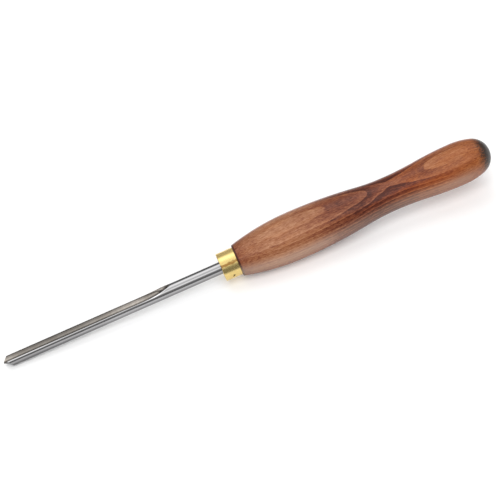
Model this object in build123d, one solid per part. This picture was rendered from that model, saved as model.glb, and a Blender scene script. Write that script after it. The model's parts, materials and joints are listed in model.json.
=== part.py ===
from build123d import *
import os
from math import acos, atan, cos, degrees, hypot, radians, sin, sqrt, tan

# Detail gouge for woodturning. All sizes are in millimetres, all angles in degrees.
# The tool is drawn along +X with the nose of its edge at x = 0 and its flute facing +Z.
# It is then rolled, tilted and set down the way it lies on a bench.

# Blade, ground and milled from one round steel bar
bar_diameter = 9.525
flute_length = 115.8        # full-depth stretch, from the nose to the start of the run-out
flute_depth = 4.76          # from the top of the bar to the bottom of the flute
flute_radius = 4.6          # round bottom of the flute
wheel_radius = 55.0         # milling wheel that leaves the curved run-out
shank_length = 41.0         # plain round bar between the run-out and the ferrule
tang_length = 50.0          # plain round bar hidden in the handle, from the ferrule's front
tang_chamfer = 0.8
bevel_angle = 33.0          # between the ground bevel and the bar's axis
wing_sweep = 3.5            # how far the two wings of the edge lie behind the nose

# Ferrule, a short brass tube
ferrule_diameter = 22.2
ferrule_wall = 1.3
ferrule_length = 13.5
ferrule_chamfer = 0.35
dent_width = 2.4            # punch mark that locks the ferrule to the wood
dent_depth = 0.5
dent_turn = 113.0           # from the flute round to the near side

# Handle, turned from one piece of beech; distances run from its shoulder, or from its butt
wood_length = 209.5
shoulder_diameter = 25.2
shoulder_chamfer = 0.5
belly_diameter = 37.2
belly_distance = 48.5
flank_distance = 103.5      # where the belly's curve turns over into the waist's
waist_diameter = 26.9
waist_distance = 126.0
swell_distance = 153.5      # where the waist's curve turns over into the bulge's
bulge_diameter = 33.0
bulge_from_butt = 26.6
bulge_radius = 55.0         # curve from the bulge towards the domed butt

# Fits
bore_clearance = 0.05       # glue line round the bar
tenon_clearance = 0.05      # glue line under the ferrule
tenon_recess = 0.4          # end of the wood behind the ferrule's front
bore_spare = 1.5            # drilled depth past the end of the bar
drill_point = 59.0          # half angle of the drill's point

# How it lies on the bench
flute_roll = 7.0            # flute turned past upright, away from the near side

# Worked out from the sizes above
bar_radius = bar_diameter / 2
flute_floor = bar_radius - flute_depth
flute_centre = flute_floor + flute_radius
runout_angle = degrees(acos(1 - flute_depth / wheel_radius))
runout_length = wheel_radius * sin(radians(runout_angle))
ferrule_front = flute_length + runout_length + shank_length
shoulder = ferrule_front + ferrule_length
butt = shoulder + wood_length
cut_margin = 2.0            # how far a cutting shape reaches past the metal


def rim_point():
    """Half the width and the height of the corner where the flute meets the round of the bar."""
    height = (bar_radius**2 - flute_radius**2 + flute_centre**2) / (2 * flute_centre)
    if height > flute_centre:
        height = sqrt(bar_radius**2 - flute_radius**2)
    return sqrt(bar_radius**2 - height**2), height


def bevel_cone():
    """Height of the bevel cone's axis and the place of its tip, both set by the wing sweep."""
    half_width, rim_height = rim_point()
    rise = rim_height - flute_floor
    spread = wing_sweep * tan(radians(bevel_angle))
    offset = (half_width**2 + rise**2 - spread**2) / (2 * (rise + spread))
    return flute_floor + offset, -offset / tan(radians(bevel_angle))


def heel_distance():
    """Distance from the nose to the lowest corner of the bevel, as the tool lies."""
    height, tip = bevel_cone()
    down = radians(180 - flute_roll)
    reach = hypot(bar_radius * sin(down), bar_radius * cos(down) - height)
    return tip + reach / tan(radians(bevel_angle))


def turned(outline):
    """Solid turned from a closed outline of places along the tool and distances from its axis."""
    return revolve(Plane.XZ * make_face(outline), Axis.X, 360)


def flute_section():
    """Round-bottomed slot, seen along the bar."""
    top = flute_floor + max(flute_radius, flute_depth) + cut_margin
    left = (-flute_radius, flute_centre)
    right = (flute_radius, flute_centre)
    bottom = (0, flute_floor)
    edges = ThreePointArc(left, bottom, right) + Polyline(
        right, (flute_radius, top), (-flute_radius, top), left
    )
    return Plane.YZ * make_face(edges)


def flute_cut():
    """Flute with the curved run-out that the milling wheel leaves as it lifts out of the bar."""
    section = flute_section()
    straight = extrude(Pos(-cut_margin, 0, 0) * section, flute_length + cut_margin, dir=(1, 0, 0))
    wheel_axis = Axis((flute_length, 0, flute_floor + wheel_radius), (0, -1, 0))
    runout = revolve(Pos(flute_length, 0, 0) * section, wheel_axis, 1.5 * runout_angle)
    return straight + runout


def bevel_cut():
    """Everything outside the bevel cone, which the grindstone takes off."""
    height, tip = bevel_cone()
    rim = bar_radius + height + cut_margin
    back = tip + rim / tan(radians(bevel_angle))
    front = tip - cut_margin
    outline = Polyline((front, 0), (tip, 0), (back, rim), (front, rim), close=True)
    face = Pos(0, 0, height) * (Plane.XZ * make_face(outline))
    return revolve(face, Axis((0, 0, height), (1, 0, 0)), 360)


def make_blade():
    end = ferrule_front + tang_length
    outline = Polyline(
        (-cut_margin / 2, 0),
        (-cut_margin / 2, bar_radius),
        (end - tang_chamfer, bar_radius),
        (end, bar_radius - tang_chamfer),
        (end, 0),
        close=True,
    )
    return turned(outline) - flute_cut() - bevel_cut()


def make_ferrule():
    outer = ferrule_diameter / 2
    inner = outer - ferrule_wall
    outline = Polyline(
        (ferrule_front, inner),
        (ferrule_front, outer - ferrule_chamfer),
        (ferrule_front + ferrule_chamfer, outer),
        (shoulder - ferrule_chamfer, outer),
        (shoulder, outer - ferrule_chamfer),
        (shoulder, inner),
        close=True,
    )
    ball = ((dent_width / 2) ** 2 + dent_depth**2) / (2 * dent_depth)
    middle = ferrule_front + ferrule_length / 2
    dent = Rot(dent_turn, 0, 0) * Pos(middle, 0, outer + ball - dent_depth) * Sphere(ball)
    return turned(outline) - dent


def turning_point(start, end, place):
    """Point of the line from start to end at a place along the tool, where two arcs meet."""
    share = (place - start[0]) / (end[0] - start[0])
    return place, start[1] + share * (end[1] - start[1])


def handle_curve():
    """Turned outside of the handle, a chamfer and a chain of tangent arcs from shoulder to butt."""
    along, back = (1, 0), (-1, 0)
    lip = (shoulder, shoulder_diameter / 2 - shoulder_chamfer)
    neck = (shoulder + shoulder_chamfer, shoulder_diameter / 2)
    belly = (shoulder + belly_distance, belly_diameter / 2)
    waist = (shoulder + waist_distance, waist_diameter / 2)
    flank = turning_point(belly, waist, shoulder + flank_distance)
    bulge = (butt - bulge_from_butt, bulge_diameter / 2)
    swell = turning_point(waist, bulge, shoulder + swell_distance)
    dome, end = butt_dome(bulge), (butt, 0)
    return [
        Line(lip, neck),
        TangentArc(belly, neck, tangent=back),
        TangentArc(belly, flank, tangent=along),
        TangentArc(waist, flank, tangent=back),
        TangentArc(waist, swell, tangent=along),
        TangentArc(bulge, swell, tangent=back),
        TangentArc(bulge, dome, tangent=along),
        TangentArc(end, dome, tangent=(0, 1)),
    ]


def butt_dome(bulge):
    """Point where the bulge's curve runs into the round dome that closes the butt."""
    radius = (2 * bulge[1] * bulge_radius - bulge[1] ** 2 - bulge_from_butt**2) / 2
    radius /= bulge_radius - bulge_from_butt
    across = bulge_from_butt - radius
    down = bulge_radius - bulge[1]
    reach = radius / hypot(across, down)
    return butt - radius + reach * across, reach * down


def make_handle():
    tenon = ferrule_diameter / 2 - ferrule_wall - tenon_clearance
    tenon_end = ferrule_front + tenon_recess
    bore = bar_radius + bore_clearance
    bore_end = ferrule_front + tang_length + bore_spare
    curve = handle_curve()
    inside = Polyline(
        (butt, 0),
        (bore_end + bore / tan(radians(drill_point)), 0),
        (bore_end, bore),
        (tenon_end, bore),
        (tenon_end, tenon),
        (shoulder, tenon),
        curve[0] @ 0,
    )
    return turned(curve + [inside])


def rest_tilt():
    """Tilt of the tool when the heel of its bevel and the handle's belly both touch the bench."""
    heel = heel_distance()
    places = [edge @ (step / 400) for edge in handle_curve()[1:-1] for step in range(401)]
    return degrees(atan(max((p.Y - bar_radius) / (p.X - heel) for p in places)))


def lay_down(pieces):
    """Roll and tilt the tool, and set it on z = 0 with the origin under the middle of its box."""
    pose = Rot(0, -rest_tilt(), 0) * Rot(-flute_roll, 0, 0)
    lying = {name: pose * piece for name, piece in pieces.items()}
    box = Compound(list(lying.values())).bounding_box()
    place = Pos(-box.center().X, -box.center().Y, -box.min.Z)
    return {name: place * piece for name, piece in lying.items()}, place * pose


pieces = {"blade": make_blade(), "ferrule": make_ferrule(), "handle": make_handle()}
pieces, placement = lay_down(pieces)
os.makedirs("parts", exist_ok=True)
for name, piece in pieces.items():
    export_step(piece, f"parts/{name}.step")
    print(name, round(piece.volume, 1), "mm3")

shank_end = placement * Pos(ferrule_front, 0, 0)
shank_start = placement * Pos(ferrule_front - shank_length, 0, 0)
print("tilt", round(rest_tilt(), 3), "heel", round(heel_distance(), 3), "length", round(butt, 2))
print("plain shank from", shank_start.position, "to", shank_end.position)
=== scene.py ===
import bmesh
import bpy
import json
from math import acos, atan2, cos, hypot, pi, radians, sin, sqrt, tan
from mathutils import Matrix, Vector


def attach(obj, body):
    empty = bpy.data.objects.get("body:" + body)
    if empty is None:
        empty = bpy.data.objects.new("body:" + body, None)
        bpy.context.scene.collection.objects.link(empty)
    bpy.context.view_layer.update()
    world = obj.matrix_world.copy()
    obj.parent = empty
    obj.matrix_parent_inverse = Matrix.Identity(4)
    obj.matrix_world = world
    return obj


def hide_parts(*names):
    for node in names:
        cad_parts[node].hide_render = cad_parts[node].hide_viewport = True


# Detail gouge lying on a white table. The tool's sizes are in millimetres, as a turner would measure them,
# and MM turns them into metres. Angles are in degrees.
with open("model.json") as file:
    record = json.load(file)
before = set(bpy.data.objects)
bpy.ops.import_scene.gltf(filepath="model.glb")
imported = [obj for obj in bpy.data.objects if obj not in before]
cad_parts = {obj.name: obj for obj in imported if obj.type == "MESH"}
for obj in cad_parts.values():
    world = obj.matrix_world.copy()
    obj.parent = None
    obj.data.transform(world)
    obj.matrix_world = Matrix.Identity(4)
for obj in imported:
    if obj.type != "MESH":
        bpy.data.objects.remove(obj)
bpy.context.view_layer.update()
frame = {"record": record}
MM = 0.001

# Sizes of the blade
BAR_RADIUS = 4.7625
FLUTE_LENGTH = 115.8
FLUTE_DEPTH = 4.76
FLUTE_RADIUS = 4.6
WHEEL_RADIUS = 55.0             # of the milling wheel that leaves the run-out
SHANK_LENGTH = 41.0
TANG_LENGTH = 50.0              # inside the handle
TANG_CHAMFER = 0.8
BEVEL_ANGLE = 33.0
WING_SWEEP = 3.5                # how far the wings of the edge lie behind the nose

# Sizes of the ferrule
FERRULE_RADIUS = 11.1
FERRULE_WALL = 1.3
FERRULE_LENGTH = 13.5
FERRULE_CHAMFER = 0.35
DENT_RADIUS = 1.2
DENT_DEPTH = 0.5
DENT_TURN = 113.0               # from the flute's side towards the near side
DENT_LIP = 0.05                 # height of the raised lip, as a share of the depth

# Sizes of the handle, with places measured from its shoulder
WOOD_LENGTH = 209.5
SHOULDER_RADIUS = 12.6
SHOULDER_ROUND = 0.5
BELLY = (48.5, 18.6)            # place and radius
FLANK_PLACE = 103.5
WAIST = (126.0, 13.45)          # place and radius
SWELL_PLACE = 153.5
BULGE_RADIUS = 16.5
BULGE_FROM_BUTT = 26.6
BULGE_CURVE = 55.0
GLUE_GAP = 0.05
TENON_RECESS = 0.4
BORE_SPARE = 1.5
DRILL_POINT = 59.0

# Roll of the tool about its own axis as it lies
FLUTE_ROLL = 7.0

# Worked out from the sizes above
FLOOR_HEIGHT = BAR_RADIUS - FLUTE_DEPTH
ARC_HEIGHT = FLOOR_HEIGHT + FLUTE_RADIUS
RUNOUT_ANGLE = acos(1 - FLUTE_DEPTH / WHEEL_RADIUS)
FERRULE_FRONT = FLUTE_LENGTH + WHEEL_RADIUS * sin(RUNOUT_ANGLE) + SHANK_LENGTH
FERRULE_MIDDLE = FERRULE_FRONT + FERRULE_LENGTH / 2
SHOULDER = FERRULE_FRONT + FERRULE_LENGTH
BAR_END = FERRULE_FRONT + TANG_LENGTH

# How finely the pieces are meshed: rows follow the tool's length, and columns go round it
FLUTE_COLUMNS = 72
BLADE_ROWS = 30
BEVEL_ROWS = 8
RUNOUT_ROWS = 48
FERRULE_COLUMNS = 144
FERRULE_ROWS = 70
FERRULE_LIP_ROWS = 4
DENT_COLUMNS = 48
DENT_REACH = 12.0               # the dent's columns go this far to each side of it
DENT_CLEAR = 12.5               # and the others keep this far away
HANDLE_COLUMNS = 160
SHOULDER_ROWS = 5
BELLY_ROWS = 44
FLANK_ROWS = 18
SWELL_ROWS = 22
BULGE_ROWS = 16
DOME_ROWS = 20
HALVINGS = 50                   # of the search for the run-out's edge
SAME_POINT = 5                  # points that agree to these decimals of a millimetre are one
STRAIGHT = 1e-6                 # an arc that rises by less than this is a line
SHARP_EDGE = 12.0               # an edge whose faces meet at more than this isn't shaded smooth


def tool_placement():
    """Matrix to the row from the tool's own frame: nose at the origin, X to the butt, Z out of the flute."""
    seat = next(m for m in frame["record"]["mounts"] if m["name"] == "ferrule_seat")
    along = -Vector(seat["axis"]).normalized()
    nose = Vector(seat["pos_m"]) - along * FERRULE_MIDDLE * MM
    side = Vector((0, 0, 1)).cross(along).normalized()
    upright = along.cross(side)
    turn = radians(FLUTE_ROLL)
    flute = upright * cos(turn) + side * sin(turn)
    across = flute.cross(along)
    place = Matrix((along, across, flute)).transposed().to_4x4()
    place.translation = nose
    return place


PLACE = tool_placement()


# Camera, set by the tool's own line in the picture
PICTURE = 500                   # pixels across and down
PIXEL = 0.7585 * MM             # real size of a pixel at the tool
LENS = 135.0
SENSOR = 36.0
AZIMUTH = -5.0
ELEVATION = 39.0
AXIS_ANGLE = 23.7               # slope of the tool's axis in the picture
AIM_PIXEL = (237.35, 260.6)     # where the axis passes the handle's shoulder
CLIP = (0.05, 50.0)             # metres


def make_camera():
    """Camera at the photo's viewing angle, turned and moved until the tool's axis lies as in the photo."""
    azimuth, elevation = radians(AZIMUTH), radians(ELEVATION)
    level = cos(elevation)
    back = Vector((sin(azimuth) * level, -cos(azimuth) * level, sin(elevation)))
    right = Vector((cos(azimuth), sin(azimuth), 0))
    up = back.cross(right)
    along = PLACE.to_3x3() @ Vector((1, 0, 0))
    roll = radians(AXIS_ANGLE) - atan2(along.dot(up), along.dot(right))
    right, up = right * cos(roll) - up * sin(roll), right * sin(roll) + up * cos(roll)
    aim = PLACE @ Vector((SHOULDER * MM, 0, 0))
    aim -= right * (AIM_PIXEL[0] - PICTURE / 2) * PIXEL
    aim -= up * (PICTURE / 2 - AIM_PIXEL[1]) * PIXEL
    data = bpy.data.cameras.new("camera")
    data.lens, data.sensor_width = LENS, SENSOR
    data.clip_start, data.clip_end = CLIP
    camera = bpy.data.objects.new("camera", data)
    bpy.context.collection.objects.link(camera)
    pose = Matrix((right, up, back)).transposed().to_4x4()
    pose.translation = aim + back * (PICTURE * PIXEL * LENS / SENSOR)
    camera.matrix_world = pose
    bpy.context.scene.camera = camera


# Mesh building

class Skin:
    """Points and faces of one piece, in millimetres. A point that is given twice is one point."""

    def __init__(self):
        self.points = []
        self.known = {}
        self.faces = []
        self.slots = []

    def at(self, point):
        key = tuple(round(c, SAME_POINT) for c in point)
        if key not in self.known:
            self.known[key] = len(self.points)
            self.points.append(point)
        return self.known[key]

    def face(self, corners, slot):
        ring = []
        for corner in corners:
            index = self.at(corner)
            if index not in ring:
                ring.append(index)
        if len(ring) > 2:
            self.faces.append(ring)
            self.slots.append(slot)

    def sheet(self, rows, slot=0):
        """Quads between neighbouring rows of points."""
        for low, high in zip(rows, rows[1:]):
            for a, b, c, d in zip(low, low[1:], high[1:], high):
                self.face((a, b, c, d), slot)

    def piece(self, name, materials):
        """Blender object of this skin, smooth apart from its true edges."""
        mesh = bpy.data.meshes.new(name)
        mesh.from_pydata([PLACE @ (Vector(p) * MM) for p in self.points], [], self.faces)
        for material in materials:
            mesh.materials.append(material)
        for polygon, slot in zip(mesh.polygons, self.slots):
            polygon.material_index = slot
        form = bmesh.new()
        form.from_mesh(mesh)
        bmesh.ops.recalc_face_normals(form, faces=form.faces)
        for face in form.faces:
            face.smooth = True
        for edge in form.edges:
            edge.smooth = edge.calc_face_angle(0) < radians(SHARP_EDGE)
        form.to_mesh(mesh)
        form.free()
        made = bpy.data.objects.new(name, mesh)
        bpy.context.collection.objects.link(made)
        return made


def steps(count):
    """Shares from 0 to 1."""
    return [i / count for i in range(count + 1)]


def full_turn(count):
    """Angles round the tool, with the first again at the end."""
    return [2 * pi * share for share in steps(count)]


def turned_rows(outline, turns):
    """Rows of points round the tool's axis, one for each (place, radius) of an outline."""
    return [[(x, r * sin(t), r * cos(t)) for t in turns] for x, r in outline]


def arc(start, heading, end, count):
    """Points of the arc that leaves start along heading and ends at end."""
    across, up = end[0] - start[0], end[1] - start[1]
    normal = (-heading[1], heading[0])
    lift = across * normal[0] + up * normal[1]
    if abs(lift) < STRAIGHT:
        return [(start[0] + across * s, start[1] + up * s) for s in steps(count)]
    radius = (across**2 + up**2) / (2 * lift)
    ahead = across * heading[0] + up * heading[1]
    sweep = atan2(ahead, radius - lift) if radius > 0 else atan2(ahead, lift - radius)
    points = []
    for share in steps(count):
        forward = abs(radius) * sin(sweep * share)
        rise = radius * (1 - cos(sweep * share))
        x = start[0] + heading[0] * forward + normal[0] * rise
        y = start[1] + heading[1] * forward + normal[1] * rise
        points.append((x, y))
    return points


# Blade

BAR_SLOT, FLUTE_SLOT, BEVEL_SLOT = range(3)


def rim_point():
    """Half the width and the height of the corner where the flute meets the round of the bar."""
    height = (BAR_RADIUS**2 - FLUTE_RADIUS**2 + ARC_HEIGHT**2) / (2 * ARC_HEIGHT)
    return sqrt(BAR_RADIUS**2 - height**2), height


def bevel_cone():
    """Height of the bevel cone's axis above the bar's, and the place of the cone's tip."""
    half_width, rim_height = rim_point()
    rise = rim_height - FLOOR_HEIGHT
    spread = WING_SWEEP * tan(radians(BEVEL_ANGLE))
    offset = (half_width**2 + rise**2 - spread**2) / (2 * (rise + spread))
    return FLOOR_HEIGHT + offset, -offset / tan(radians(BEVEL_ANGLE))


def ray_reach(angle, cone_height, centre_height, radius):
    """Distance from the cone's axis, at an angle from straight down, to a round section's wall."""
    drop = cone_height - centre_height
    return cos(angle) * drop + sqrt(radius**2 - (drop * sin(angle)) ** 2)


def runout_point(turn, arc_angle):
    """Point of the run-out at an angle of the milling wheel and of the flute's arc."""
    reach = WHEEL_RADIUS - FLUTE_RADIUS * (1 - cos(arc_angle))
    height = FLOOR_HEIGHT + WHEEL_RADIUS - reach * cos(turn)
    return FLUTE_LENGTH + reach * sin(turn), FLUTE_RADIUS * sin(arc_angle), height


def runout_edge(turn, widest):
    """Angle of the flute's arc at which the run-out leaves the bar, found by halving."""
    low, high = 0.0, widest
    for _ in range(HALVINGS):
        middle = (low + high) / 2
        _, y, z = runout_point(turn, middle)
        if hypot(y, z) < BAR_RADIUS:
            low = middle
        else:
            high = middle
    return (low + high) / 2


def make_blade(bar, flute, bevel):
    """Round bar with its flute, curved run-out and ground nose."""
    cone_height, cone_tip = bevel_cone()
    half_width, rim_height = rim_point()
    widest = atan2(half_width, ARC_HEIGHT - rim_height)
    spread = atan2(half_width, cone_height - rim_height)
    slope = tan(radians(BEVEL_ANGLE))
    inner, outer, arcs = [], [], []
    for share in steps(FLUTE_COLUMNS):
        angle = spread * (2 * share - 1)
        near = ray_reach(angle, cone_height, ARC_HEIGHT, FLUTE_RADIUS)
        far = ray_reach(angle, cone_height, 0, BAR_RADIUS)
        inner.append((angle, near))
        outer.append((angle, far))
        arcs.append(atan2(near * sin(angle), ARC_HEIGHT - cone_height + near * cos(angle)))
    edge = [cone_tip + reach / slope for _, reach in inner]
    heel = [cone_tip + reach / slope for _, reach in outer]

    def on_ray(angle, reach, place):
        return place, reach * sin(angle), cone_height - reach * cos(angle)

    def run(rays, starts, end, share):
        """Row of points, one on each ray, at a share of the way from its start to a common end."""
        return [on_ray(a, reach, s + (end - s) * share) for (a, reach), s in zip(rays, starts)]

    skin = Skin()
    ground = []
    for share in steps(BEVEL_ROWS):
        row = []
        for (angle, near), (_, far) in zip(inner, outer):
            reach = near + (far - near) * share
            row.append(on_ray(angle, reach, cone_tip + reach / slope))
        ground.append(row)
    skin.sheet(ground, BEVEL_SLOT)
    skin.sheet([run(inner, edge, FLUTE_LENGTH, s) for s in steps(BLADE_ROWS)], FLUTE_SLOT)
    skin.sheet([run(outer, heel, FLUTE_LENGTH, s) for s in steps(BLADE_ROWS)], BAR_SLOT)

    rows = [run(inner, edge, FLUTE_LENGTH, 1)]
    for share in steps(RUNOUT_ROWS)[1:]:
        turn = RUNOUT_ANGLE * share
        limit = runout_edge(turn, widest) if share < 1 else 0
        rows.append([runout_point(turn, limit * a / widest) for a in arcs])
    skin.sheet(rows, FLUTE_SLOT)

    plain_end = BAR_END - TANG_CHAMFER
    flats = [FLUTE_LENGTH] * len(outer)
    skin.sheet([run(outer, flats, plain_end, s) for s in steps(BLADE_ROWS)], BAR_SLOT)
    crest = [row[0] for row in rows] + [row[-1] for row in reversed(rows[:-1])]
    closing = [[(x + (plain_end - x) * s, y, z) for x, y, z in crest] for s in steps(BLADE_ROWS)]
    skin.sheet(closing, BAR_SLOT)
    ring = run(outer, flats, plain_end, 1) + closing[-1][-2::-1]
    shrink = 1 - TANG_CHAMFER / BAR_RADIUS
    end_ring = [(BAR_END, y * shrink, z * shrink) for _, y, z in ring]
    skin.sheet([ring, end_ring], BAR_SLOT)
    skin.face(end_ring, BAR_SLOT)
    return skin.piece("gouge_blade", [bar, flute, bevel])


# Ferrule

def dented(point):
    """A point of the ferrule's outside, pushed in where the punch struck, with a faint raised lip."""
    x, y, z = point
    radius = hypot(y, z)
    turn = atan2(-y, z) - radians(DENT_TURN)
    turn = (turn + pi) % (2 * pi) - pi
    away = hypot(x - FERRULE_MIDDLE, radius * turn) / DENT_RADIUS
    if radius < FERRULE_RADIUS - FERRULE_WALL / 2 or away > 2:
        return point
    pit = DENT_DEPTH * (1 - away**2) ** 2 if away < 1 else 0
    lip = DENT_LIP * DENT_DEPTH * sin(pi * (away - 1)) if away > 1 else 0
    scale = (radius - pit + lip) / radius
    return x, y * scale, z * scale


def make_ferrule(brass):
    """Short brass tube with eased ends and the punch mark."""
    inner = FERRULE_RADIUS - FERRULE_WALL
    front, back = FERRULE_FRONT, SHOULDER
    ease = FERRULE_CHAMFER
    lip_radius = FERRULE_RADIUS - ease
    front_lip = arc((front, lip_radius), (0, 1), (front + ease, FERRULE_RADIUS), FERRULE_LIP_ROWS)
    back_lip = arc((back - ease, FERRULE_RADIUS), (1, 0), (back, lip_radius), FERRULE_LIP_ROWS)
    length = FERRULE_LENGTH - 2 * ease
    wall = [(front + ease + length * s, FERRULE_RADIUS) for s in steps(FERRULE_ROWS)]
    outline = [(front, inner)] + front_lip[:-1] + wall + back_lip[1:] + [(back, inner), (front, inner)]
    dent = 2 * pi - radians(DENT_TURN)
    coarse = [t for t in full_turn(FERRULE_COLUMNS) if abs(t - dent) > radians(DENT_CLEAR)]
    fine = [dent + radians(DENT_REACH) * (2 * share - 1) for share in steps(DENT_COLUMNS)]
    skin = Skin()
    skin.sheet([[dented(p) for p in row] for row in turned_rows(outline, sorted(coarse + fine))])
    return skin.piece("brass_ferrule", [brass])


# Handle

def turning_point(start, end, place):
    """Point at a place on the straight line between two points of the outline."""
    share = (place - start[0]) / (end[0] - start[0])
    return place, start[1] + share * (end[1] - start[1])


def dome_start():
    """Point of the outline where the bulge's curve runs into the round dome of the butt."""
    radius = (2 * BULGE_RADIUS * BULGE_CURVE - BULGE_RADIUS**2 - BULGE_FROM_BUTT**2) / 2
    radius /= BULGE_CURVE - BULGE_FROM_BUTT
    across, down = BULGE_FROM_BUTT - radius, BULGE_CURVE - BULGE_RADIUS
    reach = radius / hypot(across, down)
    return WOOD_LENGTH - radius + reach * across, reach * down


def handle_outline():
    """Outside of the wood, from its shoulder to the end of the butt, as (place, radius)."""
    ahead, behind, outwards = (1, 0), (-1, 0), (0, 1)
    lip = (0, SHOULDER_RADIUS - SHOULDER_ROUND)
    neck = (SHOULDER_ROUND, SHOULDER_RADIUS)
    bulge = (WOOD_LENGTH - BULGE_FROM_BUTT, BULGE_RADIUS)
    flank = turning_point(BELLY, WAIST, FLANK_PLACE)
    swell = turning_point(WAIST, bulge, SWELL_PLACE)
    dome, end = dome_start(), (WOOD_LENGTH, 0)
    curves = [
        arc(lip, outwards, neck, SHOULDER_ROWS),
        arc(BELLY, behind, neck, BELLY_ROWS)[::-1],
        arc(BELLY, ahead, flank, BELLY_ROWS),
        arc(WAIST, behind, flank, FLANK_ROWS)[::-1],
        arc(WAIST, ahead, swell, SWELL_ROWS),
        arc(bulge, behind, swell, SWELL_ROWS)[::-1],
        arc(bulge, ahead, dome, BULGE_ROWS),
        arc(end, outwards, dome, DOME_ROWS)[::-1],
    ]
    points = curves[0]
    for curve in curves[1:]:
        points += curve[1:]
    return points


def make_handle(wood):
    """Turned beech handle with its tenon and the drilled hole for the bar."""
    tenon = FERRULE_RADIUS - FERRULE_WALL - GLUE_GAP
    bore = BAR_RADIUS + GLUE_GAP
    face = FERRULE_FRONT + TENON_RECESS
    bore_end = BAR_END + BORE_SPARE
    outline = [
        (bore_end + bore / tan(radians(DRILL_POINT)), 0),
        (bore_end, bore),
        (face, bore),
        (face, tenon),
        (SHOULDER, tenon),
    ]
    outline += [(SHOULDER + x, max(r, 0)) for x, r in handle_outline()]
    skin = Skin()
    skin.sheet(turned_rows(outline, full_turn(HANDLE_COLUMNS)))
    return skin.piece("beech_handle", [wood])


# Materials

class Nodes:
    """Short way to write the nodes of a material or the world."""

    def __init__(self, owner):
        if isinstance(owner, str):
            owner = bpy.data.materials.new(owner)
            owner.use_nodes = True
        self.material = owner
        self.tree = owner.node_tree
        self.shader = self.tree.nodes.get("Principled BSDF")

    def add(self, kind, values=None, **settings):
        node = self.tree.nodes.new(kind)
        for key, value in settings.items():
            setattr(node, key, value)
        for key, value in (values or {}).items():
            self.put(node.inputs[key], value)
        return node

    def put(self, socket, value):
        if isinstance(value, bpy.types.NodeSocket):
            self.tree.links.new(value, socket)
        else:
            socket.default_value = value

    def math(self, operation, *values, clamp=False):
        node = self.add("ShaderNodeMath", operation=operation, use_clamp=clamp)
        for socket, value in zip(node.inputs, values):
            self.put(socket, value)
        return node.outputs[0]

    def chain(self, operation, first, *others):
        """The same operation with each of the other values in turn."""
        for other in others:
            first = self.math(operation, first, other)
        return first

    def squares(self, first, second):
        """Sum of two squares."""
        return self.math("ADD", self.math("POWER", first, 2), self.math("POWER", second, 2))

    def vector(self, operation, first, second, output="Vector"):
        node = self.add("ShaderNodeVectorMath", {0: first, 1: second}, operation=operation)
        return node.outputs[output]

    def scaled(self, colour, tone):
        node = self.add("ShaderNodeVectorMath", {0: colour, "Scale": tone}, operation="SCALE")
        return node.outputs["Vector"]

    def place(self):
        """Place in the tool's own frame, in millimetres, the same in every pose of the tool."""
        spot = self.add("ShaderNodeTexCoord").outputs["Object"]
        from_nose = self.vector("SUBTRACT", spot, PLACE.translation)
        values = {}
        for name, axis in zip("XYZ", PLACE.to_3x3().transposed()):
            values[name] = self.vector("DOT_PRODUCT", from_nose, axis / MM, "Value")
        return self.add("ShaderNodeCombineXYZ", values).outputs[0]

    def parts(self, place):
        return self.add("ShaderNodeSeparateXYZ", {"Vector": place}).outputs

    def noise(self, place, cells, detail, rough):
        """Noise from 0 to 1, with a number of cells to the millimetre for each direction."""
        values = {"Vector": self.vector("MULTIPLY", place, cells), "Scale": 1.0}
        values.update({"Detail": detail, "Roughness": rough})
        return self.add("ShaderNodeTexNoise", values).outputs["Fac"]

    def ramp(self, factor, stops, interpolation="LINEAR"):
        node = self.add("ShaderNodeValToRGB", {"Fac": factor})
        node.color_ramp.interpolation = interpolation
        marks = node.color_ramp.elements
        while len(marks) < len(stops):
            marks.new(0.5)
        for mark, (position, value) in zip(marks, sorted(stops)):
            mark.position = position
            mark.color = (*value, 1) if isinstance(value, tuple) else (value, value, value, 1)
        return node.outputs["Color"]

    def span(self, value, low, high, to_low=0.0, to_high=1.0, smooth=True):
        """A value that goes from to_low to to_high while another goes from low to high."""
        node = self.add(
            "ShaderNodeMapRange",
            {"Value": value, "From Min": low, "From Max": high, "To Min": to_low, "To Max": to_high},
            interpolation_type="SMOOTHSTEP" if smooth else "LINEAR",
        )
        return node.outputs["Result"]

    def hump(self, value, low, middle, high):
        """A value that rises from 0 to 1 at the middle and falls to 0 again."""
        return self.math("MULTIPLY", self.span(value, low, middle), self.span(value, high, middle))

    def follow(self, distance, length, stops):
        """A value that follows a list of (distance, value) over a length."""
        low = min(value for _, value in stops)
        high = max(value for _, value in stops)
        shares = [(at / length, (value - low) / (high - low)) for at, value in stops]
        level = self.ramp(self.math("DIVIDE", distance, length), shares, "EASE")
        return self.span(level, 0, 1, low, high, smooth=False)

    def mix(self, factor, first, second, blend="MIX"):
        node = self.add("ShaderNodeMix", data_type="RGBA", blend_type=blend)
        for name, value in (("Factor", factor), ("A", first), ("B", second)):
            self.put(node.inputs[name], (*value, 1) if isinstance(value, tuple) else value)
        return node.outputs["Result"]

    def bump(self, height, distance_mm, strength=1.0, below=None):
        values = {"Height": height, "Distance": distance_mm * MM, "Strength": strength}
        if below is not None:
            values["Normal"] = below
        return self.add("ShaderNodeBump", values).outputs["Normal"]

    def finish(self, **values):
        for key, value in values.items():
            name = key.replace("_", " ").title().replace("Ior", "IOR")
            self.put(self.shader.inputs[name], value)
        return self.material


# Numbers of the materials
# A texture is its cells to the millimetre (along the tool, and both ways across it), detail and roughness.
# Where a name has four numbers, a value goes from the third to the fourth while what it depends on goes
# from the first to the second. A relief is its height in millimetres and its strength.

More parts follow.
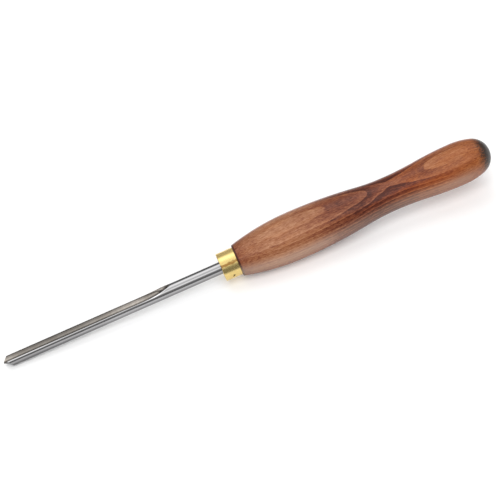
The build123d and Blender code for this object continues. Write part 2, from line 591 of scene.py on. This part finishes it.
# Steel, with lists of (distance from the nose, value)
BLADE_LENGTH = 190.0            # the lists are spread over this distance
BAR_STEEL = ((0.42, 0.415, 0.42), (0.5, 0.495, 0.5))
BAR_STREAKS = ((0.02, 2.2, 2.2), 2.0, 0.5)
BAR_RINGS = ((7.0, 0.1, 0.1), 4.0, 0.6)
BAR_ROUGHNESS = (0.3, 0.7, 0.1, 0.18)
BAR_RELIEF = (0.004, 0.5)
# painted shade: the round is darker towards the nose, where it mirrors its own shadow on the table
BAR_TONES = [(0, 0.7), (18, 0.7), (45, 0.82), (76, 0.88), (95, 1.0), (125, 0.93), (180, 0.92)]
UNDERSIDE_SHADE = (-2.1, 0.0)         # painted shade: the round gets darker from the second height down to the first, where it mirrors its shadow on the table
UNDERSIDE_SHADE_TONES = [(0, 0.5), (15, 0.48), (30, 0.42), (55, 0.42), (75, 0.47), (95, 0.54), (140, 0.54)]
TOP_SHADE_LINE = (4.6, 4.75, 1.0, 0.62)  # painted shade along the top of the round: change of tone with height
RIM_WIDTH = [(0, 2.2), (25, 2.1), (45, 1.95), (70, 1.85), (105, 1.6), (118, 0.8), (140, 0.7)]
RIM_WEAR = [                    # slope of the worn round at the rim of the flute, in degrees
    (0, 11.0),
    (40, 9.0),
    (70, 7.0),
    (90, 5.0),
    (108, 4.0),
    (118, 14.0),
    (140, 14.0),
]
# width of the painted highlight along the rim of the flute
HIGHLIGHT_WIDTH = [
    (0, 1.2),
    (25, 1.1),
    (45, 1.0),
    (70, 1.1),
    (105, 0.9),
    (116, 0.6),
    (126, 1.15),
    (140, 1.1),
]
HIGHLIGHT_FULL = 0.1               # share of that width, next to the flute, that has the whole painted highlight
RIM_HIGHLIGHT = [                  # painted highlight on the polished strip along the rim: times as bright as the rest of the bar
    (0, 1.6),
    (25, 1.6),
    (40, 1.2),
    (50, 1.0),
    (98, 1.0),
    (106, 0.85),
    (114, 0.8),
    (119, 1.4),
    (125, 2.3),
    (128, 2.4),
    (131, 1.5),
    (135, 1.0),
]
FLUTE_STEEL = ((0.17, 0.152, 0.134), (0.25, 0.228, 0.205))
FLUTE_MARKS = ((2.4, 0.05, 0.05), 5.0, 0.65)
FLUTE_ROUGHNESS = (0.25, 0.75, 0.22, 0.34)
FLUTE_RELIEF = (0.02, 0.6)
# brightness along the flute; the high values at the nose are a painted glint along the cutting edge
FLUTE_TONES = [
    (0, 1.7),
    (3, 1.35),
    (8, 1.1),
    (15, 0.82),
    (40, 0.74),
    (60, 0.78),
    (76, 0.92),
    (91, 1.14),
    (100, 1.4),
    (110, 1.5),
    (116, 1.2),
    (121, 0.98),
    (129, 1.2),
    (136, 1.3),
]
CLOUD_STEEL = (0.3, 0.28, 0.26)
CLOUDS = ((0.25, 0.1, 0.1), 2.0, 0.5)
CLOUD_SHARE = (0.35, 0.65, 0.0, 0.35)
RIM_SHADOW = (1.4, 2.05, 2.7)   # heights between which the flute is darker below its rims
RIM_SHADOW_TONE = (0.0, 1.0, 1.0, 0.31)
RUNOUT_TOP_SHADE = (2.7, 3.8, 1.0, 0.5)  # painted shade towards the top of the run-out: change of tone with height
BEVEL_STEEL = ((0.19, 0.19, 0.19), (0.28, 0.28, 0.285))
BEVEL_SCRATCHES = ((60.0, 0.4, 0.0), 4.0, 0.7)  # round the cone in radians, and along it
BEVEL_ROUGHNESS = (0.3, 0.7, 0.16, 0.28)
BEVEL_RELIEF = (0.01, 0.6)


def from_flute(nodes, parts):
    """Distance of a point outside the flute and its run-out from their milled surface."""
    beyond = nodes.math("MAXIMUM", nodes.math("SUBTRACT", parts["X"], FLUTE_LENGTH), 0)
    drop = nodes.math("SUBTRACT", FLOOR_HEIGHT + WHEEL_RADIUS, parts["Z"])
    wheel = nodes.math("SQRT", nodes.squares(beyond, drop))
    inside = nodes.math("SUBTRACT", wheel, WHEEL_RADIUS - FLUTE_RADIUS)
    return nodes.math("SUBTRACT", nodes.math("SQRT", nodes.squares(inside, parts["Y"])), FLUTE_RADIUS)


def steel_bar():
    """Ground and polished round bar, worn round along the rims of its flute, with a painted highlight along
    the rims and painted shade on its underside, along its top and towards the nose.
    """
    nodes = Nodes("bar_steel")
    place = nodes.place()
    parts = nodes.parts(place)

    def along(stops):
        return nodes.follow(parts["X"], BLADE_LENGTH, stops)

    away = from_flute(nodes, parts)
    # painted highlight along the rim of the flute
    highlight_place = nodes.math("DIVIDE", away, along(HIGHLIGHT_WIDTH))
    highlight = nodes.math("SUBTRACT", along(RIM_HIGHLIGHT), 1)
    highlight = nodes.math("MULTIPLY", highlight, nodes.span(highlight_place, 1.0, HIGHLIGHT_FULL))
    # painted shade: the underside of the round is darker
    under_shade = nodes.span(parts["Z"], *UNDERSIDE_SHADE, along(UNDERSIDE_SHADE_TONES), 1.0)
    # painted shade along the top of the round
    top_shade = nodes.span(parts["Z"], *TOP_SHADE_LINE)
    tone = nodes.chain("MULTIPLY", along(BAR_TONES), under_shade, top_shade, nodes.math("ADD", highlight, 1))
    colour = nodes.mix(nodes.noise(place, *BAR_STREAKS), *BAR_STEEL)
    width = along(RIM_WIDTH)
    near_rim = nodes.math("SUBTRACT", 1, nodes.math("DIVIDE", away, width), clamp=True)
    slope = nodes.math("MULTIPLY", along(RIM_WEAR), radians(1) / 2)
    wear = nodes.chain("MULTIPLY", nodes.math("POWER", near_rim, 2), slope, width, -1)
    rings = nodes.noise(place, *BAR_RINGS)
    return nodes.finish(
        base_color=nodes.scaled(colour, tone),
        metallic=1.0,
        roughness=nodes.span(rings, *BAR_ROUGHNESS),
        normal=nodes.bump(rings, *BAR_RELIEF, nodes.bump(wear, 1.0)),
    )


def steel_flute():
    """Inside of the flute, with the marks that milling and grinding leave across it, painted shade below its
    rims and towards the top of the run-out, and a painted glint at the nose.
    """
    nodes = Nodes("flute_steel")
    place = nodes.place()
    parts = nodes.parts(place)
    marks = nodes.noise(place, *FLUTE_MARKS)
    clouds = nodes.span(nodes.noise(place, *CLOUDS), *CLOUD_SHARE)
    colour = nodes.mix(clouds, nodes.mix(marks, *FLUTE_STEEL), CLOUD_STEEL)
    rims = nodes.span(nodes.hump(parts["Z"], *RIM_SHADOW), *RIM_SHADOW_TONE)
    # painted shade towards the top of the run-out
    top_shade = nodes.span(parts["Z"], *RUNOUT_TOP_SHADE)
    tone = nodes.chain("MULTIPLY", nodes.follow(parts["X"], BLADE_LENGTH, FLUTE_TONES), rims, top_shade)
    return nodes.finish(
        base_color=nodes.scaled(colour, tone),
        metallic=1.0,
        roughness=nodes.span(marks, *FLUTE_ROUGHNESS),
        normal=nodes.bump(marks, *FLUTE_RELIEF),
    )


def steel_bevel():
    """Ground bevel, with fine scratches from heel to edge."""
    nodes = Nodes("bevel_steel")
    parts = nodes.parts(nodes.place())
    cone_height, _ = bevel_cone()
    height = nodes.math("SUBTRACT", parts["Z"], cone_height)
    angle = nodes.math("ARCTAN2", parts["Y"], height)
    polar = nodes.add("ShaderNodeCombineXYZ", {"X": angle, "Y": parts["X"]}).outputs[0]
    scratches = nodes.noise(polar, *BEVEL_SCRATCHES)
    return nodes.finish(
        base_color=nodes.mix(scratches, *BEVEL_STEEL),
        metallic=1.0,
        roughness=nodes.span(scratches, *BEVEL_ROUGHNESS),
        normal=nodes.bump(scratches, *BEVEL_RELIEF),
    )


# Brass, with turns in degrees from the flute's side towards the near side
BRASS = ((0.76, 0.57, 0.21), (0.84, 0.65, 0.27))
BRASS_LINES = ((9.0, 0.04, 0.04), 5.0, 0.6)
BRASS_ROUGHNESS = (0.3, 0.7, 0.14, 0.24)
BRASS_RELIEF = (0.006, 0.5)
DULL_BRASS = (0.66, 0.49, 0.2)
DULL_SPOTS = ((0.25, 0.25, 0.25), 4.0, 0.6)
DULL_SHARE = (0.5, 0.75, 0.0, 0.35)
DULL_ROUGHNESS = (0.4, 0.8, 0.0, 0.1)  # added to the roughness of the lines
SHEEN_FILM_SHARE = (2.0, 16.0, 1.0, 0.0)  # painted sheen: a thin pale film on the far side, by turn
SHEEN_FILM_COLOUR = (1.0, 0.73, 0.28)
SHEEN_FILM_METAL = (0.0, 1.0, 0.96, 0.8)  # the film mirrors less
DARK_REFLECTION = (0.27, 0.145, 0.04)
DARK_REFLECTION_TURN = 55.9             # painted dark reflection: a dull orange streak lies here along the brass
DARK_REFLECTION_SHARE = (2.0, 9.5, 1.0, 0.0)  # by turn away from that
DARK_REFLECTION_WAVES = ((0.3, 0.6, 0.6), 3.0, 0.5)
DARK_REFLECTION_WANDER = (0.3, 0.7, -2.0, 2.0)
# dirt and painted shade in the hollow of the punch mark
DIRT_AND_SHADE = (0.1, 0.06, 0.02)
DIRT_AND_SHADE_SIZE = (1.35, 0.6)         # along and across the punch mark
DIRT_AND_SHADE_DROP = 0.78                # below the middle of the mark
DIRT_AND_SHADE_SLANT = 0.66               # and rising towards the handle by this slope
DIRT_AND_SHADE_SHARE = (0.5, 1.3, 1.0, 0.0)


def turned_brass():
    """Brass with the fine lines of turning, a pale film painted as a sheen on the far side, a painted dark
    reflection along it, and dirt and painted shade in the punch mark.
    """
    nodes = Nodes("ferrule_brass")
    place = nodes.place()
    parts = nodes.parts(place)
    turn = nodes.math("DEGREES", nodes.math("ARCTAN2", nodes.math("MULTIPLY", parts["Y"], -1), parts["Z"]))
    lines = nodes.noise(place, *BRASS_LINES)
    dull = nodes.noise(place, *DULL_SPOTS)
    sheen_film = nodes.span(turn, *SHEEN_FILM_SHARE)
    away = nodes.math("ABSOLUTE", nodes.math("SUBTRACT", turn, DARK_REFLECTION_TURN))
    away = nodes.math("ADD", away, nodes.span(nodes.noise(place, *DARK_REFLECTION_WAVES), *DARK_REFLECTION_WANDER))
    length, width = DIRT_AND_SHADE_SIZE
    sideways = nodes.math("SUBTRACT", parts["X"], FERRULE_MIDDLE)
    around = nodes.math("MULTIPLY", nodes.math("SUBTRACT", turn, DENT_TURN), radians(1) * FERRULE_RADIUS)
    around = nodes.math("ADD", around, nodes.math("MULTIPLY", sideways, DIRT_AND_SHADE_SLANT))
    around = nodes.math("DIVIDE", nodes.math("SUBTRACT", around, DIRT_AND_SHADE_DROP), width)
    pit = nodes.squares(nodes.math("DIVIDE", sideways, length), around)
    colour = nodes.mix(lines, *BRASS)
    colour = nodes.mix(nodes.span(dull, *DULL_SHARE), colour, DULL_BRASS)
    # painted sheen on the far side
    colour = nodes.mix(sheen_film, colour, SHEEN_FILM_COLOUR)
    # painted dark reflection along the brass
    colour = nodes.mix(nodes.span(away, *DARK_REFLECTION_SHARE), colour, DARK_REFLECTION)
    # dirt and painted shade in the punch mark
    colour = nodes.mix(nodes.span(pit, *DIRT_AND_SHADE_SHARE), colour, DIRT_AND_SHADE)
    return nodes.finish(
        base_color=colour,
        metallic=nodes.span(sheen_film, *SHEEN_FILM_METAL, smooth=False),
        roughness=nodes.math("ADD", nodes.span(lines, *BRASS_ROUGHNESS), nodes.span(dull, *DULL_ROUGHNESS)),
        normal=nodes.bump(lines, *BRASS_RELIEF),
    )


# Wood, with lists of (distance from the shoulder, value)
# It was sawn with its growth rings nearly flat to the side that lies up. Depths are measured square to the
# rings, outwards from the tool's axis.
RING_TURN = 26.0                # from the flute to the rings' outside, towards the near side
RING_WIDTH = 2.5
RING_START = 0.4
RING_WAVES = ((0.014, 0.07, 0.07), 3.0, 0.5)
RING_WANDER = (0.3, 0.7, -0.4, 0.4)
RING_RIPPLES = ((0.09, 0.5, 0.5), 2.0, 0.5)
RIPPLE_WANDER = (0.3, 0.7, -0.03, 0.03)
OUTER_RINGS = (9.0, 14.0)       # depths between which the rings begin to lean
RING_LEAN = [                   # how far the outer rings lean down or up along the handle
    (0, 2.5),
    (14, 2.1),
    (30, 0.6),
    (48, 0),
    (64, 0.2),
    (76, 0.5),
    (90, 0.7),
    (108, 1.3),
    (117, 0.3),
    (126, -0.25),
    (140, -0.15),
    (155, 0.35),
    (180, 0.1),
]
RING_TONES = [                  # from the start of one year's wood to the end
    (0, 1),
    (0.1, 1),
    (0.18, 0.8),
    (0.3, 0.62),
    (0.45, 0.42),
    (0.8, 0.15),
    (0.97, 0),
    (1, 1),
]
RING_SHOWS = [                  # how much the rings change the tone
    (0, 0.04),
    (12, 0.1),
    (26, 0.24),
    (50, 0.25),
    (70, 0.36),
    (100, 0.38),
    (140, 0.54),
    (160, 0.4),
    (178, 0.16),
    (200, 0.08),
]
YEAR_SHOWS = 0.12               # how much one year's wood differs from the next
GRAIN = {                       # finer textures, and how much each changes the tone
    "streaks": (((0.03, 1.4, 1.4), 4.0, 0.6), 0.7),
    "flecks": (((0.45, 2.6, 2.6), 3.0, 0.6), 0.95),
    "pores": (((0.26, 1.15, 1.15), 2.0, 0.5), 0.75),
    "patches": (((0.05, 0.16, 0.16), 3.0, 0.5), 0.25),
}
WOOD_TONES = [
    (0, 0.42),
    (13, 0.6),
    (26, 0.72),
    (46, 0.72),
    (62, 0.58),
    (78, 0.34),
    (92, 0.24),
    (100, 0.18),
    (120, 0.18),
    (136, 0.28),
    (152, 0.5),
    (172, 0.62),
    (198, 0.6),
]
SHOULDER_SHADE = (0.4, 1.6, -0.9, 0.0)  # painted shade in the groove at the shoulder: change of tone with the distance from it
PINK_WOOD = [                   # colours by tone
    (0.0, (0.055, 0.011, 0.005)),
    (0.2, (0.125, 0.03, 0.013)),
    (0.4, (0.2, 0.06, 0.027)),
    (0.6, (0.27, 0.098, 0.042)),
    (0.8, (0.34, 0.145, 0.068)),
    (1.0, (0.43, 0.205, 0.11)),
]
ORANGE_WOOD = [
    (0.0, (0.055, 0.01, 0.003)),
    (0.3, (0.16, 0.035, 0.01)),
    (0.6, (0.27, 0.078, 0.021)),
    (0.8, (0.335, 0.108, 0.034)),
    (1.0, (0.42, 0.17, 0.065)),
]
ORANGE_START = (118, 150)       # the stain turns from pink to orange between these distances
ORANGE_PATCHES = (0.4, 0.65, -0.3, 0.3)
PAINTED_LIGHT_BAND = (-8.0, 2.5, 10.5)     # painted light: a paler band along the lower near side and the upper far side of the handle: depths of its inner side, middle and outer side
PAINTED_LIGHT_COLOUR = (0.5, 0.38, 0.3)
PAINTED_LIGHT_SHOWS = [(0, 0.4), (60, 0.46), (85, 0.24), (110, 0.16), (150, 0.26), (180, 0.34), (200, 0.1)]
HEARTWOOD = (3.0, 11.0, 15.6)   # a redder band, in the same way
HEARTWOOD_TINT = (0.96, 0.78, 0.68)
HEARTWOOD_SHOWS = [(0, 0), (92, 0), (116, 0.8), (140, 1), (172, 0.95), (190, 0.1), (200, 0)]
CHAR = (0.03, 0.021, 0.017)
CHAR_START = (196.8, 205.2)     # the burnt butt begins between these distances from the shoulder
CHAR_TILT = 0.08                # and earlier towards the near side
CHAR_LINES = ((0.04, 1.3, 1.3), 4.0, 0.6)
CHAR_WANDER = (0.25, 0.75, -3.0, 3.0)
WOOD_ROUGHNESS = (0.3, 0.7, 0.4, 0.5)
WOOD_RELIEF = (0.03, 0.4)
WOOD_SHINE = 0.1
LACQUER = 0.45
LACQUER_ROUGHNESS = 0.25


def stained_beech():
    """Beech stained a reddish brown, with growth rings, flecks and a burnt butt, under a satin lacquer, with
    painted shade at the shoulder and a band of painted light along its lower near side.
    """
    nodes = Nodes("stained_beech")
    place = nodes.place()
    parts = nodes.parts(place)
    along = nodes.math("SUBTRACT", parts["X"], SHOULDER)

    def by_length(stops):
        return nodes.follow(along, WOOD_LENGTH, stops)

    def band(depths, shows):
        return nodes.math("MULTIPLY", nodes.hump(depth, *depths), by_length(shows))

    outwards = (0, -sin(radians(RING_TURN)), cos(radians(RING_TURN)))
    depth = nodes.vector("DOT_PRODUCT", place, outwards, "Value")
    lean = nodes.math("MULTIPLY", by_length(RING_LEAN), nodes.span(depth, *OUTER_RINGS))
    wobble = nodes.span(nodes.noise(place, *RING_WAVES), *RING_WANDER, smooth=False)
    ripple = nodes.span(nodes.noise(place, *RING_RIPPLES), *RIPPLE_WANDER, smooth=False)
    depth = nodes.chain("ADD", depth, lean, wobble, ripple)
    rings = nodes.math("DIVIDE", nodes.math("SUBTRACT", depth, RING_START), RING_WIDTH)
    ring = nodes.ramp(nodes.math("FRACT", rings), RING_TONES)
    year = nodes.add("ShaderNodeTexWhiteNoise", {"W": nodes.math("FLOOR", rings)}, noise_dimensions="1D")
    grain = {name: nodes.noise(place, *texture) for name, (texture, _) in GRAIN.items()}

    changes = [(ring, by_length(RING_SHOWS)), (year.outputs["Value"], YEAR_SHOWS)]
    changes += [(grain[name], amount) for name, (_, amount) in GRAIN.items()]
    # painted shade next to the shoulder
    tone = nodes.math("ADD", by_length(WOOD_TONES), nodes.span(along, *SHOULDER_SHADE))
    for level, amount in changes:
        tone = nodes.math("ADD", tone, nodes.math("MULTIPLY", nodes.math("SUBTRACT", level, 0.5), amount))

    patches = nodes.span(grain["patches"], *ORANGE_PATCHES)
    orange = nodes.math("ADD", nodes.span(along, *ORANGE_START), patches, clamp=True)
    colour = nodes.mix(orange, nodes.ramp(tone, PINK_WOOD), nodes.ramp(tone, ORANGE_WOOD))
    # painted light: a paler band along the lower near side
    colour = nodes.mix(band(PAINTED_LIGHT_BAND, PAINTED_LIGHT_SHOWS), colour, PAINTED_LIGHT_COLOUR)
    redder = nodes.mix(1.0, colour, HEARTWOOD_TINT, "MULTIPLY")
    colour = nodes.mix(band(HEARTWOOD, HEARTWOOD_SHOWS), colour, redder)
    burn = nodes.math("ADD", along, nodes.span(nodes.noise(place, *CHAR_LINES), *CHAR_WANDER))
    burn = nodes.math("SUBTRACT", burn, nodes.math("MULTIPLY", parts["Y"], CHAR_TILT))
    colour = nodes.mix(nodes.span(burn, *CHAR_START), colour, CHAR)
    return nodes.finish(
        base_color=colour,
        roughness=nodes.span(grain["streaks"], *WOOD_ROUGHNESS),
        specular_ior_level=WOOD_SHINE,
        coat_weight=LACQUER,
        coat_roughness=LACQUER_ROUGHNESS,
        normal=nodes.bump(grain["flecks"], *WOOD_RELIEF),
    )


# Stage, in metres
FLOOR_HALF = 6.0
FLOOR_COLOUR = (0.92, 0.92, 0.92)
FLOOR_GLOW = 0.1                # added for the camera and mirror rays only
SHEET_EDGE = (0.035, 0.07)      # mirror rays see the sheet end between these distances on the near side
SHEET_BEYOND = 0.25             # and the table has this brightness beyond it


def make_floor():
    """White table that keeps the tool's shadow. From below it is clear, so that the underside can be seen."""
    corners = [(x * FLOOR_HALF, y * FLOOR_HALF, 0) for x, y in ((-1, -1), (1, -1), (1, 1), (-1, 1))]
    mesh = bpy.data.meshes.new("floor")
    mesh.from_pydata(corners, [], [(0, 1, 2, 3)])
    floor = bpy.data.objects.new("floor", mesh)
    bpy.context.collection.objects.link(floor)
    nodes = Nodes("white_table")
    nodes.tree.nodes.clear()
    rays = nodes.add("ShaderNodeLightPath").outputs
    matt = nodes.add("ShaderNodeBsdfDiffuse", {"Color": (*FLOOR_COLOUR, 1)}).outputs[0]
    seen = nodes.math("MAXIMUM", rays["Is Camera Ray"], rays["Is Glossy Ray"])
    glow = nodes.add("ShaderNodeEmission", {"Strength": nodes.math("MULTIPLY", seen, FLOOR_GLOW)}).outputs[0]
    sheet = nodes.add("ShaderNodeAddShader", {0: matt, 1: glow}).outputs[0]
    dark = nodes.add("ShaderNodeEmission", {"Strength": SHEET_BEYOND}).outputs[0]
    spot = nodes.add("ShaderNodeTexCoord").outputs["Object"]
    near = nodes.math("MULTIPLY", nodes.parts(spot)["Y"], -1)
    beyond = nodes.math("MULTIPLY", nodes.span(near, *SHEET_EDGE), rays["Is Glossy Ray"])
    above = nodes.add("ShaderNodeMixShader", {0: beyond, 1: sheet, 2: dark}).outputs[0]
    clear = nodes.add("ShaderNodeBsdfTransparent").outputs[0]
    below = nodes.add("ShaderNodeNewGeometry").outputs["Backfacing"]
    table = nodes.add("ShaderNodeMixShader", {0: below, 1: above, 2: clear}).outputs[0]
    nodes.add("ShaderNodeOutputMaterial", {"Surface": table})
    mesh.materials.append(nodes.material)


# Brightness of the studio by height, from the near horizon (0) over the top (90) to the far horizon (180)
STUDIO = [
    (0, 0.24),
    (9, 0.24),
    (18, 0.3),
    (26, 0.5),
    (34, 1.25),
    (41, 1.8),
    (48, 1.7),
    (56, 1.12),
    (64, 1.0),
    (72, 1.1),
    (82, 1.4),
    (94, 1.88),
    (104, 2.15),
    (113, 1.6),
    (123, 0.85),
    (134, 0.4),
    (147, 0.29),
    (162, 0.28),
    (180, 0.3),
]
STUDIO_ENDS = (0.45, 0.85, 1.0, 0.45)  # change of brightness with the sideways part of a direction
FILL = (0.07, 0.07, 0.07)       # light from all round for surfaces that don't mirror
WHITE = (1.0, 1.0, 1.0)


def make_world():
    """White to the camera. Mirror rays see a soft studio, bright overhead and darker towards the sides."""
    world = bpy.data.worlds.new("studio")
    bpy.context.scene.world = world
    world.use_nodes = True
    nodes = Nodes(world)
    nodes.tree.nodes.clear()
    parts = nodes.parts(nodes.add("ShaderNodeTexCoord").outputs["Generated"])
    height = nodes.math("ARCTAN2", parts["Z"], nodes.math("MULTIPLY", parts["Y"], -1))
    brightest = max(value for _, value in STUDIO)
    stops = [(turn / 180, value / brightest) for turn, value in STUDIO]
    bands = nodes.ramp(nodes.math("DIVIDE", height, pi), stops)
    ends = nodes.span(nodes.math("ABSOLUTE", parts["X"]), *STUDIO_ENDS)
    strength = nodes.math("MULTIPLY", ends, brightest)
    studio = nodes.add("ShaderNodeBackground", {"Color": bands, "Strength": strength}).outputs[0]
    fill = nodes.add("ShaderNodeBackground", {"Color": (*FILL, 1)}).outputs[0]
    white = nodes.add("ShaderNodeBackground", {"Color": (*WHITE, 1)}).outputs[0]
    rays = nodes.add("ShaderNodeLightPath").outputs
    lit = nodes.add("ShaderNodeMixShader", {0: rays["Is Glossy Ray"], 1: fill, 2: studio}).outputs[0]
    seen = nodes.add("ShaderNodeMixShader", {0: rays["Is Camera Ray"], 1: lit, 2: white}).outputs[0]
    nodes.add("ShaderNodeOutputWorld", {"Surface": seen})


# Lamps, as (name, strength, tilt from overhead towards the near side, width as seen from the tool)
LAMPS = [
    ("near_lamp", 2.85, 40, 60),
    ("top_lamp", 0.8, -15, 40),
    ("back_lamp", 0.97, -60, 40),
]


def make_lamp(name, strength, tilt, width):
    """Large soft lamp that no mirror ray sees, since the metals mirror the world's studio."""
    data = bpy.data.lights.new(name, "SUN")
    data.energy = strength
    data.angle = radians(width)
    lamp = bpy.data.objects.new(name, data)
    lamp.rotation_euler = (radians(tilt), 0, 0)
    lamp.visible_camera = False
    lamp.visible_glossy = False
    bpy.context.collection.objects.link(lamp)


scene = bpy.context.scene
scene.view_settings.view_transform = "Standard"
make_camera()
make_floor()
make_world()
for lamp in LAMPS:
    make_lamp(*lamp)

blade = make_blade(steel_bar(), steel_flute(), steel_bevel())
ferrule = make_ferrule(turned_brass())
handle = make_handle(stained_beech())
for piece, node, slot in (
    (blade, "blade", "blade_steel"),
    (ferrule, "ferrule", "ferrule_brass"),
    (handle, "handle", "handle_wood"),
):
    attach(piece, "root")
    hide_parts(node)
